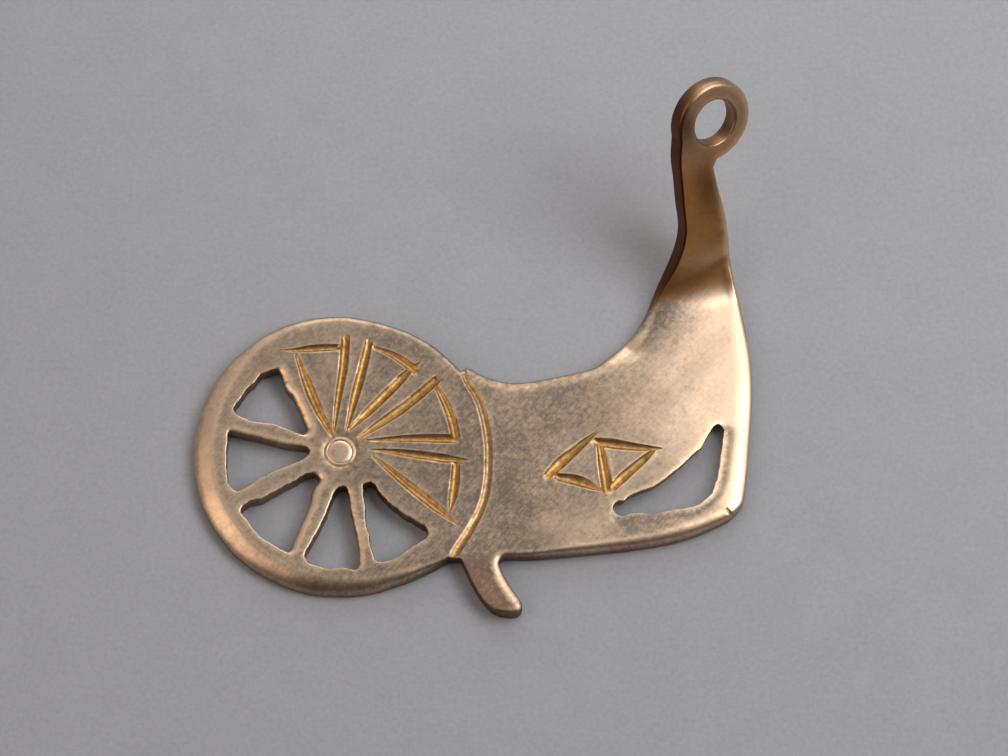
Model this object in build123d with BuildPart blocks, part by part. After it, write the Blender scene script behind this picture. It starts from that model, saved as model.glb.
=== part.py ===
"""Sheet-metal charm in the outline of a one-wheeled barrow, pierced, engraved and folded into a loop.

The plate lies on its back face at z = 0 with the wheel's hub at the origin, the barrow's body towards
+X and the prop leg towards -Y. The neck is folded up out of the plate along a skewed line, twisted a
little, and ends in a drilled loop. A small headed pin sits in the hub. Sizes are in millimetres and
degrees.
"""

import os
from math import cos, hypot, radians, sin

from build123d import *

# sheet and wheel
SHEET = 0.9
EDGE_ROUND = 0.24
EDGE_BEVEL = 0.12
WHEEL_R = 6.57
RIM_ROUND = 0.34

# windows sawn in the wheel: two corners as radius from the hub and angle, two as depth of rim and angle
WINDOWS = (
    ((1.62, 143.0), (1.80, 152.0), (1.51, 158.5), (1.57, 124.5)),
    ((1.42, 171.0), (1.52, 188.0), (1.55, 203.0), (1.47, 169.5)),
    ((1.76, 214.5), (1.60, 236.0), (1.21, 244.5), (1.47, 212.0)),
    ((1.60, 270.0), (1.66, 284.0), (1.11, 280.0), (1.17, 254.0)),
    ((1.80, 306.0), (2.08, 316.0), (0.97, 316.5), (1.15, 287.0)),
)
WINDOW_CORNER = 0.14

# body outline, clockwise: top edge, right and bottom edge, prop leg, then a tongue that laps the wheel
TOP_EDGE = ((5.62, 4.04), (6.40, 3.58), (7.70, 3.28), (9.30, 3.48), (11.50, 4.08), (12.50, 4.66))
RIGHT_EDGE = ((18.18, 4.90), (18.31, 2.40), (18.02, -1.50), (17.74, -2.32), (17.10, -2.86))
BOTTOM_EDGE = ((15.50, -3.70), (13.00, -4.20), (10.40, -4.50), (7.40, -4.70))
BOTTOM_HEADING = (-1.0, -0.05)
LEG_SIDE = ((7.08, -5.10), (7.36, -6.00), (7.92, -7.00))
LEG_BACK = ((7.58, -7.42), (6.98, -7.24), (6.05, -6.00), (5.56, -4.78))
LEG_CORNER = 0.16
TONGUE_LAP = 0.4
TONGUE_SPAN = (-42.0, 41.0)

# opening sawn in the body: upper side from the tip, then the lower side back to it
OPENING_UPPER = ((16.82, 1.38), (16.00, 0.20), (14.40, -1.28), (12.90, -2.14), (12.20, -2.42))
OPENING_LOWER = ((12.42, -2.96), (14.10, -2.90), (15.70, -2.62), (16.50, -1.90))
OPENING_SIDE = ((16.95, -0.40), (17.06, 1.26))
OPENING_CORNER = 0.10

# fold of the neck: a line through FOLD_AT turned from +X, with the strip bent up about it
FOLD_AT = (16.0, 6.56)
FOLD_TURN = 26.0
FOLD_ANGLE = 56.0
FOLD_R = 2.2
TWIST = 11.0

# neck on the flat strip: distance past the fold line, left edge, right edge
NECK = (
    (0.00, -3.14, 1.98),
    (0.72, -2.24, 2.13),
    (1.43, -1.50, 2.27),
    (2.15, -0.85, 2.41),
    (3.20, -0.08, 2.53),
    (4.50, 0.57, 2.65),
    (5.80, 0.86, 2.66),
    (7.10, 1.08, 2.70),
)
NECK_SHEET = 0.78

# hanging loop centred on the flat strip, with the neck's end let into its ring
LOOP_AT = (9.09, 3.41)
LOOP_R = 1.90
LOOP_HOLE_R = 1.06
LOOP_SWELL = 0.06
NECK_THROAT = (8.00, 1.22, 2.60)
NECK_INSET = 0.08

# hub pin, seated on its head
PIN_R = 0.40
PIN_LIP = 0.14
PIN_HEAD_DEPTH = 0.25
PIN_DOME = 0.06
PIN_RECESS = 0.04
PIN_CLEAR = 0.01

# ring struck round the pin's head
RING_GAP = 0.18
RING_CUT = 0.08

# line cut between wheel and body
SEAM_AT = (-0.75, -0.30)
SEAM_OUT = 0.83
SEAM_FROM = -37.5
SEAM_SWEEP = 72.0
SEAM_CUT = 0.16

# graver cuts, each from its fine end to its broad end: spokes from a radius and angle at the hub to a
# depth of rim and angle, chords between two depths of rim, and the figure on the body in x and y
CUT_HALF = 0.18
CUT_DEPTH = 0.16
CUT_FLOOR = 0.12
CUT_RUN_IN = 0.55
CUT_RUN_OUT = 0.10
SPOKES = (
    ((0.99, 114.5), (1.48, 113.5)),
    ((1.08, 105.1), (1.12, 88.1)),
    ((1.18, 75.3), (1.13, 76.9)),
    ((1.19, 67.3), (1.24, 51.0)),
    ((1.05, 38.8), (0.95, 38.6)),
    ((1.35, 23.5), (1.32, 6.8)),
    ((1.43, 3.6), (0.77, -4.1)),
    ((1.54, -9.7), (0.36, -33.5)),
)
CHORDS = (
    ((1.04, 118.3), (1.56, 91.7)),
    ((1.33, 74.3), (1.42, 49.3)),
    ((1.27, 37.4), (1.32, 7.0)),
    ((0.87, -31.3), (1.37, -6.1)),
)
FIGURE = (
    ((11.36, 0.88), (9.30, -1.07)),
    ((14.24, 0.16), (11.44, 0.45)),
    ((11.73, -1.87), (9.74, -1.21)),
    ((11.57, 0.26), (11.87, -1.73)),
    ((14.02, 0.12), (12.13, -1.69)),
)


def polar(point):
    """Point from a radius and an angle about the hub."""
    return (point[0] * cos(radians(point[1])), point[0] * sin(radians(point[1])))


def rim(point):
    """Point from a depth inside the rim and an angle about the hub."""
    return polar((WHEEL_R - point[0], point[1]))


fold_x = Vector(*polar((1, FOLD_TURN)), 0)
fold_y = Vector(*polar((1, FOLD_TURN + 90)), 0)
up = Vector(0, 0, 1)
fold_root = Vector(*FOLD_AT, SHEET / 2)
fold_length = FOLD_R * radians(FOLD_ANGLE)
neck_end = NECK[-1][0]
neck_middle = (NECK[-1][1] + NECK[-1][2]) / 2
left_root = fold_root + fold_x * NECK[0][1]
right_root = fold_root + fold_x * NECK[0][2]


def strip_plane(along, across):
    """Plane across the bent strip at a point of the flat one: x runs across the strip and z along it.

    The strip turns about its own middle line up to the end of the neck and stays flat from there on.
    """
    bend = radians(FOLD_ANGLE) * min(along / fold_length, 1)
    rest = max(along - fold_length, 0)
    turn = radians(TWIST) * min(rest / (neck_end - fold_length), 1)
    run = fold_y * cos(bend) + up * sin(bend)
    face = up * cos(bend) - fold_y * sin(bend)
    side = fold_x * cos(turn) - face * sin(turn)
    pivot = across if along <= neck_end else neck_middle
    point = fold_root + fold_y * (FOLD_R * sin(bend)) + up * (FOLD_R * (1 - cos(bend)))
    point = point + run * rest + fold_x * pivot + side * (across - pivot)
    return Plane(origin=point, x_dir=side, z_dir=run)


loop_cross = strip_plane(*LOOP_AT)
loop_face = loop_cross.x_dir.cross(loop_cross.z_dir)
loop_plane = Plane(loop_cross.origin, x_dir=loop_cross.x_dir, z_dir=loop_face)
neck_tip = (
    LOOP_AT[0] - NECK_INSET,
    LOOP_AT[1] - LOOP_R + NECK_INSET,
    LOOP_AT[1] - LOOP_HOLE_R - NECK_INSET,
)
pin_head = PIN_R + PIN_LIP
ring_radius = pin_head + RING_GAP
seam_radius = WHEEL_R + SEAM_OUT

os.makedirs("parts", exist_ok=True)

with BuildPart() as wheel:
    with BuildSketch():
        Circle(WHEEL_R)
    extrude(amount=SHEET)
    fillet(wheel.edges().sort_by(Axis.Z)[-1], RIM_ROUND)
    chamfer(wheel.edges().sort_by(Axis.Z)[0], EDGE_BEVEL)

with BuildPart() as body:
    with BuildSketch() as outline:
        with BuildLine():
            Spline(*TOP_EDGE, (left_root.X, left_root.Y))
            Line((left_root.X, left_root.Y), (right_root.X, right_root.Y))
            Spline(
                (right_root.X, right_root.Y),
                *RIGHT_EDGE,
                *BOTTOM_EDGE,
                tangents=((-fold_y.X, -fold_y.Y), BOTTOM_HEADING),
            )
            Spline(BOTTOM_EDGE[-1], *LEG_SIDE, *LEG_BACK)
            Polyline(LEG_BACK[-1], *(rim((TONGUE_LAP, turn)) for turn in TONGUE_SPAN), TOP_EDGE[0])
        make_face()
        notch = outline.vertices().sort_by_distance((*BOTTOM_EDGE[-1], 0))[0]
        fillet(notch, LEG_CORNER)
    extrude(amount=SHEET)
    curved = body.edges().filter_by(GeomType.LINE, reverse=True).group_by(Axis.Z)
    fillet(curved[-1], EDGE_ROUND)
    curved = body.edges().filter_by(GeomType.LINE, reverse=True).group_by(Axis.Z)
    chamfer(curved[0], EDGE_BEVEL)
    fold_end = body.faces().sort_by_distance(fold_root)[0]

with BuildPart() as neck:
    add(fold_end)
    for along, left, right in (*NECK[1:], NECK_THROAT, neck_tip):
        thick = SHEET + (NECK_SHEET - SHEET) * min(along / neck_end, 1)
        with BuildSketch(strip_plane(along, (left + right) / 2)) as section:
            Rectangle(right - left, thick)
            chamfer(section.vertices(), EDGE_BEVEL)
    loft()

with BuildPart() as loop:
    with BuildSketch(loop_plane):
        Circle(LOOP_R)
        Circle(LOOP_HOLE_R, mode=Mode.SUBTRACT)
    extrude(amount=(NECK_SHEET + LOOP_SWELL) / 2, both=True)
    chamfer(loop.faces().filter_by(loop_plane).edges(), EDGE_BEVEL)

with BuildPart() as charm_plate:
    add(wheel.part)
    add(body.part)
    add(neck.part)
    add(loop.part)
    with BuildSketch() as windows:
        for hub_a, hub_b, rim_b, rim_a in WINDOWS:
            crown = ((rim_a[0] + rim_b[0]) / 2, (rim_a[1] + rim_b[1]) / 2)
            with BuildLine():
                Polyline(rim(rim_a), polar(hub_a), polar(hub_b), rim(rim_b))
                ThreePointArc(rim(rim_b), rim(crown), rim(rim_a))
            make_face()
        fillet(windows.vertices(), WINDOW_CORNER)
    extrude(amount=SHEET, mode=Mode.SUBTRACT)
    with BuildSketch() as opening:
        with BuildLine():
            Spline(*OPENING_UPPER)
            Line(OPENING_UPPER[-1], OPENING_LOWER[0])
            Spline(*OPENING_LOWER, *OPENING_SIDE)
            Line(OPENING_SIDE[-1], OPENING_UPPER[0])
        make_face()
        fillet(opening.vertices(), OPENING_CORNER)
    extrude(amount=SHEET, mode=Mode.SUBTRACT)
    with BuildSketch():
        Circle(PIN_R + PIN_CLEAR)
    extrude(amount=SHEET, mode=Mode.SUBTRACT)
    with BuildSketch(Plane.XY.offset(SHEET - PIN_HEAD_DEPTH)):
        Circle(pin_head + PIN_CLEAR)
    extrude(amount=PIN_HEAD_DEPTH, mode=Mode.SUBTRACT)
    with BuildSketch(Plane.XZ):
        with BuildLine():
            Polyline(
                (ring_radius - 2 * RING_CUT, SHEET + RING_CUT),
                (ring_radius, SHEET - RING_CUT),
                (ring_radius + 2 * RING_CUT, SHEET + RING_CUT),
                close=True,
            )
        make_face()
    revolve(axis=Axis.Z, mode=Mode.SUBTRACT)
    seam_start = Plane(
        (*SEAM_AT, SHEET),
        x_dir=(*polar((1, SEAM_FROM)), 0),
        z_dir=(*polar((1, SEAM_FROM - 90)), 0),
    )
    with BuildSketch(seam_start):
        with BuildLine():
            Polyline(
                (seam_radius - 2 * SEAM_CUT, SEAM_CUT),
                (seam_radius, -SEAM_CUT),
                (seam_radius + 2 * SEAM_CUT, SEAM_CUT),
                close=True,
            )
        make_face()
    revolve(axis=Axis((*SEAM_AT, 0), (0, 0, 1)), revolution_arc=SEAM_SWEEP, mode=Mode.SUBTRACT)
    cuts = [(polar(fine), rim(broad)) for fine, broad in SPOKES]
    cuts += [(rim(fine), rim(broad)) for fine, broad in CHORDS]
    cuts += FIGURE
    mouth = (CUT_DEPTH, 2 * CUT_HALF, 0)
    floor = (-CUT_DEPTH, CUT_FLOOR * CUT_HALF, CUT_DEPTH)
    for fine, broad in cuts:
        length = hypot(broad[0] - fine[0], broad[1] - fine[1])
        heading = Vector(broad[0] - fine[0], broad[1] - fine[1], 0)
        for level, half, trim in (mouth, floor):
            with BuildSketch(Plane((*fine, SHEET + level), x_dir=heading, z_dir=up)):
                with BuildLine():
                    Polyline(
                        (trim, 0),
                        (CUT_RUN_IN * length, half),
                        ((1 - CUT_RUN_OUT) * length, half),
                        (length - trim, 0),
                        ((1 - CUT_RUN_OUT) * length, -half),
                        (CUT_RUN_IN * length, -half),
                        close=True,
                    )
                make_face()
        loft(ruled=True, mode=Mode.SUBTRACT)

with BuildPart() as axle_pin:
    with BuildSketch(Plane.XZ):
        with BuildLine():
            Polyline(
                (0, SHEET + PIN_DOME),
                (0, PIN_RECESS),
                (PIN_R, PIN_RECESS),
                (PIN_R, SHEET - PIN_HEAD_DEPTH),
                (pin_head, SHEET - PIN_HEAD_DEPTH),
                (pin_head, SHEET - PIN_DOME),
            )
            Spline(
                (pin_head, SHEET - PIN_DOME),
                (0, SHEET + PIN_DOME),
                tangents=((-1, 1), (-1, 0)),
            )
        make_face()
    revolve(axis=Axis.Z)

charm_plate.part.label = "charm_plate"
axle_pin.part.label = "axle_pin"
export_step(charm_plate.part, "parts/charm_plate.step")
export_step(axle_pin.part, "parts/axle_pin.step")
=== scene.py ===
"""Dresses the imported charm: a worn, engraved brass plate in the outline of a one-wheeled barrow.

The plate is drawn as a flat pattern in millimetres, with the wheel's hub at the origin and the back
of the sheet at height 0, and is then carried through the fold and twist of its neck into metres. The
hub pin is turned about the hub's axis. The charm lies on grey paper under four soft lights.
"""

import logging
from dataclasses import dataclass
from enum import Enum

import bmesh
import bpy
import numpy as np
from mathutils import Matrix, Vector
from mathutils.geometry import delaunay_2d_cdt


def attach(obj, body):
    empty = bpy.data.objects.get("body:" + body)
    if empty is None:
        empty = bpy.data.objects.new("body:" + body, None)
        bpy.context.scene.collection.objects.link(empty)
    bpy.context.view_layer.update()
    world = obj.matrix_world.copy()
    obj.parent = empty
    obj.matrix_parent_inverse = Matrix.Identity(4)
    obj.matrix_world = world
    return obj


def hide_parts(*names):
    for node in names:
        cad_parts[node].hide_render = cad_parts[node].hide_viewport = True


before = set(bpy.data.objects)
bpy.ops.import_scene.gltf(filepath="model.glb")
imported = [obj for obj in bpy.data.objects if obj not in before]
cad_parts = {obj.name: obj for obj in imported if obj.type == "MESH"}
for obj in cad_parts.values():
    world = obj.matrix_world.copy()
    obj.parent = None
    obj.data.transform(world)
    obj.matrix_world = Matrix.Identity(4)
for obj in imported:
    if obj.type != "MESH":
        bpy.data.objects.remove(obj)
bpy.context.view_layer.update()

Array = np.ndarray
Pair = tuple[float, float]
Four = tuple[float, float, float, float]
Pairs = tuple[Pair, ...]
Rows = tuple[tuple[float, ...], ...]
LOG = logging.getLogger("charm")

# metres in a millimetre, and the sheet's thickness in millimetres, as lengths are on the pattern
MM = 0.001
SHEET = 0.90

# most cells of a table that is worked out at once, and a square too small to divide by
CELLS = 4_000_000
TINY = 1e-12

# height of an equal-sided triangle of side 1, and what folds the two numbers of a cell into one
ROW = 0.866
KEY = (100_003, 1)

# points this close are one: on the pattern, in the finished mesh, and along its shortest edges
WELD = 1e-5
MERGE = 2e-6
DEGENERATE = 1e-7

# degrees from which an edge of the mesh is shaded sharp
SHARP = 32.0

# a filed slope in shares of its reach and fall, with its lower edge rounded off
FILED = np.array((
    (1.0, 0.0), (0.90, 0.05), (0.62, 0.24), (0.36, 0.44), (0.12, 0.64), (0.03, 0.80), (0.0, 1.0)))


class Stretch(Enum):
    """Stretches of the sheet's outer edge, each filed and worn in its own way."""

    RIM = "rim"
    NOTCH = "notch"
    LEG_BACK = "leg back"
    LEG_SIDE = "leg side"
    BOTTOM = "bottom"
    RIGHT = "right"
    NECK_RIGHT = "neck right"
    LOOP = "loop"
    NECK_LEFT = "neck left"
    TOP = "top"


def linear(code: str) -> Four:
    """Turns an sRGB hex colour into linear light, by the sRGB curve.

    Args:
        code: six hex digits after a hash.

    Returns:
        Red, green, blue and an alpha of 1.
    """
    part = np.array([int(code[i : i + 2], 16) for i in (1, 3, 5)]) / 255
    light = np.where(part <= 0.04045, part / 12.92, ((part + 0.055) / 1.055) ** 2.4)
    return (*light.tolist(), 1.0)


def spline(knots: Array | Pairs, step: float, closed: bool = False) -> Array:
    """Smooth curve through knots.

    Each coordinate is a cubic of the square root of the chord, natural at the ends or periodic, which
    keeps tight corners from swinging out. The second derivatives at the knots solve the usual system
    of three terms a row, and every span blends its end values and end derivatives.

    Args:
        knots: points on the curve.
        step: rough distance between samples.
        closed: whether the last knot runs back to the first.

    Returns:
        Samples, the end knot included unless the curve is closed.
    """
    points = np.asarray(knots, float)
    points = np.vstack((points, points[:1])) if closed else points
    move = np.diff(points, axis=0)
    chord = np.linalg.norm(move, axis=1)
    gap = np.sqrt(chord)[:, None]
    slope = move / gap
    spans = len(gap)
    row = np.arange(spans)
    before = np.roll(gap, 1)[:, 0]
    system = np.zeros((spans, spans))
    system[row, row] = 2 * (before + gap[:, 0])
    system[row, row - 1] += before
    system[row, (row + 1) % spans] += gap[:, 0]
    load = 6 * (slope - np.roll(slope, 1, axis=0))
    if not closed:
        system[0] = np.eye(spans)[0]
        load[0] = 0
        system[1:, 0] = 0
    bend = np.linalg.solve(system, load)
    bend = np.vstack((bend, bend[:1] if closed else np.zeros((1, 2))))
    count = np.maximum(np.round(chord / step), 1).astype(int)
    span = np.repeat(row, count)
    share = ((np.arange(len(span)) - (np.cumsum(count) - count)[span]) / count[span])[:, None]
    rest = 1 - share
    curve = rest * points[span] + share * points[span + 1]
    swing = (rest**3 - rest) * bend[span] + (share**3 - share) * bend[span + 1]
    curve += gap[span] ** 2 / 6 * swing
    return curve if closed else np.vstack((curve, points[-1:]))


def batches(rows: int, columns: int) -> list[Array]:
    """Row numbers in parts, each small enough for a table with that many columns."""
    return np.array_split(np.arange(rows), max(1, rows * columns // CELLS))


def nearest(points: Array, line: Array) -> tuple[Array, Array]:
    """Distance from points to an open polyline.

    Each point is dropped on every segment, and the closest foot is kept.

    Args:
        points: points to measure from.
        line: corners of the polyline.

    Returns:
        Distances, and places along the line counted in segments.
    """
    start, move = line[:-1], np.diff(line, axis=0)
    span = np.maximum((move**2).sum(axis=1), TINY)
    distance, place = np.empty((2, len(points)))
    for part in batches(len(points), len(start)):
        offset = points[part, None] - start
        share = np.clip((offset * move).sum(axis=2) / span, 0, 1)
        gap = ((offset - share[..., None] * move) ** 2).sum(axis=2)
        best = gap.argmin(axis=1)
        pick = np.arange(len(part))
        distance[part] = np.sqrt(gap[pick, best])
        place[part] = best + share[pick, best]
    return distance, place


def nearest_point(points: Array, marks: Array) -> tuple[Array, Array]:
    """Distance from each point to the nearest mark.

    Args:
        points: points to measure from.
        marks: points to measure to.

    Returns:
        Distances, and the numbers of the nearest marks.
    """
    size = (marks**2).sum(axis=1)
    closest = []
    for part in batches(len(points), len(marks)):
        spots = points[part]
        square = (spots**2).sum(axis=1)[:, None] - 2 * spots @ marks.T + size
        closest.append(square.argmin(axis=1))
    closest = np.concatenate(closest)
    return np.linalg.norm(points - marks[closest], axis=1), closest


def inside(points: Array, rings: list[Array]) -> Array:
    """Tells which points lie in the sheet: a ray to the right crosses the rings an odd number of times.

    Args:
        points: points to test.
        rings: closed rings, outer and inner alike.

    Returns:
        A flag for each point.
    """
    start = np.vstack(rings)
    end = np.vstack([np.roll(ring, -1, axis=0) for ring in rings])
    found = np.zeros(len(points), bool)
    for part in batches(len(points), len(start)):
        x, y = points[part, 0, None], points[part, 1, None]
        crosses = (start[:, 1] > y) != (end[:, 1] > y)
        rise = np.where(end[:, 1] == start[:, 1], 1, end[:, 1] - start[:, 1])
        at = start[:, 0] + (y - start[:, 1]) / rise * (end[:, 0] - start[:, 0])
        found[part] = (crosses & (at > x)).sum(axis=1) % 2 == 1
    return found


def blur(values: Array, reach: int) -> Array:
    """Mean of each value of a closed row with its neighbours up to reach places away."""
    return np.mean([np.roll(values, k, axis=0) for k in range(-reach, reach + 1)], axis=0)


def smooth(share: Array) -> Array:
    """Smooth step from 0 to 1: three times the square less twice the cube."""
    share = np.clip(share, 0, 1)
    return share * share * (3 - 2 * share)


def ramp(values: Array, start: float, run: float) -> Array:
    """Smooth step that leaves 0 at start and is 1 a run later."""
    return smooth((values - start) / run)


def bell(*axes: tuple[Array, float, float]) -> Array:
    """Bump of height 1 about a middle: e to the minus sum of squared distances, each over a width."""
    return np.exp(-sum(((values - middle) / width) ** 2 for values, middle, width in axes))


@dataclass(frozen=True)
class Fold:
    """The neck's fold: a skewed line about which the strip is bent up, and a twist along the neck.

    The fold line runs through at. The bend goes from start to finish past it, and skew_end says where
    its skew begins to fade, and over what length. It dies out left of neck_left and root_left. A
    station is a distance past the line and the places of the neck's left and right edges there.
    """

    at: Pair = (16.0, 6.56)
    turn: float = 26.0
    angle: float = 56.0
    start: float = 0.10
    finish: float = 2.65
    skew: float = 0.26
    skew_end: Pair = (0.6, 2.0)
    twist: float = 11.0
    neck_left: float = -3.9
    root_left: float = -5.0
    neck_sheet: float = 0.78
    loop_swell: float = 0.06
    swell_run: float = 1.2
    longest: float = 14.0
    samples: int = 3000
    stations: Rows = (
        (0.00, -3.40, 2.14), (0.72, -2.63, 2.26), (1.43, -1.62, 2.38), (2.15, -0.80, 2.52),
        (3.20, 0.07, 2.68), (4.50, 0.71, 2.82), (5.80, 0.89, 2.83), (7.10, 1.09, 2.84),
    )

    def axes(self) -> tuple[Array, Array]:
        """Directions across and along the strip on the flat pattern."""
        turn = np.radians(self.turn)
        return np.array((np.cos(turn), np.sin(turn))), np.array((-np.sin(turn), np.cos(turn)))

    def flat(self, strip: Array) -> Array:
        """Flat-pattern points of (along, across) places on the strip."""
        across, along = self.axes()
        return self.at + strip[:, :1] * along + strip[:, 1:] * across

    def places(self, flat: Array) -> tuple[Array, Array]:
        """Places along and across the strip of flat-pattern points."""
        across, along = self.axes()
        return (flat - self.at) @ along, (flat - self.at) @ across

    def strip(self, flat: Array) -> tuple[Array, Array]:
        """Places along and across the strip; left of the neck none lies past the fold line."""
        along, across = self.places(flat)
        return np.minimum(along, 10 * np.maximum(across - self.neck_left, 0)), across

    def place(self, flat: Array, height: Array) -> Array:
        """Carries flat-pattern points into space.

        The bend grows along the strip as a smooth step, sooner at the right than at the left, and its
        cosine and sine are summed into the strip's run and rise. Past the bend the strip turns about
        its middle line, and a point stands off the mid-surface by its height, thinned towards the
        neck's end.

        Args:
            flat: points on the pattern, in millimetres.
            height: heights over the sheet's back, in millimetres.

        Returns:
            Points in metres.
        """
        across_way, along_way = self.axes()
        along, across = self.places(flat)
        # left of the neck the fold dies out, so that the top edge and the wheel beyond it stay flat
        root = 0.5 * np.maximum(across - self.root_left, 0)
        limit = root + 6 * np.maximum(across - self.neck_left, 0) + self.start
        beyond = np.maximum(along - limit, 0)[:, None]
        along = np.minimum(along, limit)
        # how far each step of the walk along the strip has bent, run on and risen
        walk = np.linspace(self.start, self.longest, self.samples)
        bends = np.radians(self.angle) * ramp(walk, self.start, self.finish - self.start)
        step = walk[1] - walk[0]
        runs = np.cumsum(np.cos(bends)) * step - step + self.start
        rises = np.cumsum(np.sin(bends)) * step
        skewed = along + self.skew * across * (1 - ramp(along, *self.skew_end))
        bent = np.maximum(skewed, self.start)
        bend = np.interp(bent, walk, bends)[:, None]
        run = (along - bent + np.interp(bent, walk, runs))[:, None] + beyond * np.cos(bend)
        rise = np.interp(bent, walk, rises)[:, None] + beyond * np.sin(bend)
        # the twist about the middle line, and the thickness there
        end = self.stations[-1][0]
        turn = np.radians(self.twist) * ramp(along, self.finish, end - self.finish)[:, None]
        table = np.array(self.stations)
        middle = np.interp(along, table[:, 0], table[:, 1:].mean(axis=1))[:, None]
        up, wide, far = np.eye(3)[2], np.append(across_way, 0), np.append(along_way, 0)
        face = up * np.cos(bend) - far * np.sin(bend)
        side = wide * np.cos(turn) - face * np.sin(turn)
        normal = face * np.cos(turn) + wide * np.sin(turn)
        thin = SHEET + (self.neck_sheet - SHEET) * np.clip(along / end, 0, 1)
        thin = (thin + self.loop_swell * ramp(along, end, self.swell_run)) / SHEET
        origin = np.array((*self.at, SHEET / 2))
        spot = origin + far * run + up * rise + wide * middle + side * (across[:, None] - middle)
        return (spot + normal * ((height - SHEET / 2) * thin)[:, None]) * MM


def quarter_round(count: int) -> Array:
    """Quarter of an ellipse in shares of its reach and fall: 1 less the sine, 1 less the cosine."""
    angle = np.linspace(0, np.pi / 2, count)
    return np.column_stack((1 - np.sin(angle), 1 - np.cos(angle)))


@dataclass
class Contour:
    """A closed edge of the sheet on the flat pattern, with the metal on its left.

    The worn top edge reaches inset into the sheet and falls by drop. It is an elliptic quarter round,
    and where facet is 1 a filed slope. Where the saw was held askew the wall leans back by lean at its
    foot. The edge's shine says how pale it is coloured, as rubbed wear and painted highlight, and its
    soiling how dirty it is and how much painted shade it takes.
    """

    points: Array
    inset: Array
    drop: Array
    facet: Array | float = 0.0
    shine: Array | float = 0.4
    soil_and_shade: Array | float = 0.0
    lean: Array | float = 0.0
    bevel: float = 0.10
    stride: int = 3

    def inward(self) -> Array:
        """Unit directions into the metal: the tangent over a few neighbours, turned left.

        Returns:
            One direction for each point.
        """
        ahead = sum(np.roll(self.points, -k, axis=0) - np.roll(self.points, k, axis=0)
                    for k in range(1, self.stride + 1))
        turned = np.column_stack((-ahead[:, 1], ahead[:, 0]))
        return turned / np.linalg.norm(turned, axis=1)[:, None]

    def facing(self) -> Array:
        """How far the metal at each point lies to the right, up, to the left and down, summing to 1."""
        way = self.inward()
        return np.column_stack((way, -way)).clip(0) ** 2

    def ring(self, inset: Array | float) -> Array:
        """The edge moved into the metal by inset."""
        return self.points + self.inward() * np.broadcast_to(inset, len(self.points))[:, None]

    def rows(self, top: Array) -> tuple[Array, Array]:
        """Profile carried round the edge: quarter round or filed slope, sawn wall, back bevel.

        Args:
            top: height of the sheet's face along the top ring.

        Returns:
            Insets and heights, one row for each point of the profile.
        """
        turned = quarter_round(len(FILED))
        reach, fall = (
            (1 - self.facet) * turned[:, k, None] + self.facet * FILED[:, k, None] for k in (0, 1))
        inset = self.inset * reach
        height = top - self.drop * fall
        # the wall has a row near its middle, one at its foot and one past the bevel
        foot = np.outer((0.5, 1.0, 1.0), np.broadcast_to(self.lean, len(self.points)))
        foot[2] += self.bevel
        middle = 0.55 * height[-1] + 0.45 * self.bevel
        low = np.vstack((middle, 0 * top + self.bevel, 0 * top))
        return np.vstack((inset, foot)), np.vstack((height, low))


@dataclass
class Bore(Contour):
    """The hub's stepped bore: a worn mouth, a seat for the pin's head and a narrow bore below it."""

    bevel: float = -0.14
    seat: float = 0.65
    mouth_rows: int = 5

    def rows(self, top: Array) -> tuple[Array, Array]:
        """Profile carried round the bore, as for an edge.

        Args:
            top: height of the sheet's face along the top ring.

        Returns:
            Insets and heights, one row for each point of the profile.
        """
        reach, fall = quarter_round(self.mouth_rows).T[..., None]
        whole = np.ones(len(self.points))
        foot = np.outer((0, self.bevel, self.bevel), whole)
        low = np.outer((self.seat, self.seat, 0), whole)
        return np.vstack((self.inset * reach, foot)), np.vstack((top - self.drop * fall, low))


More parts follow.
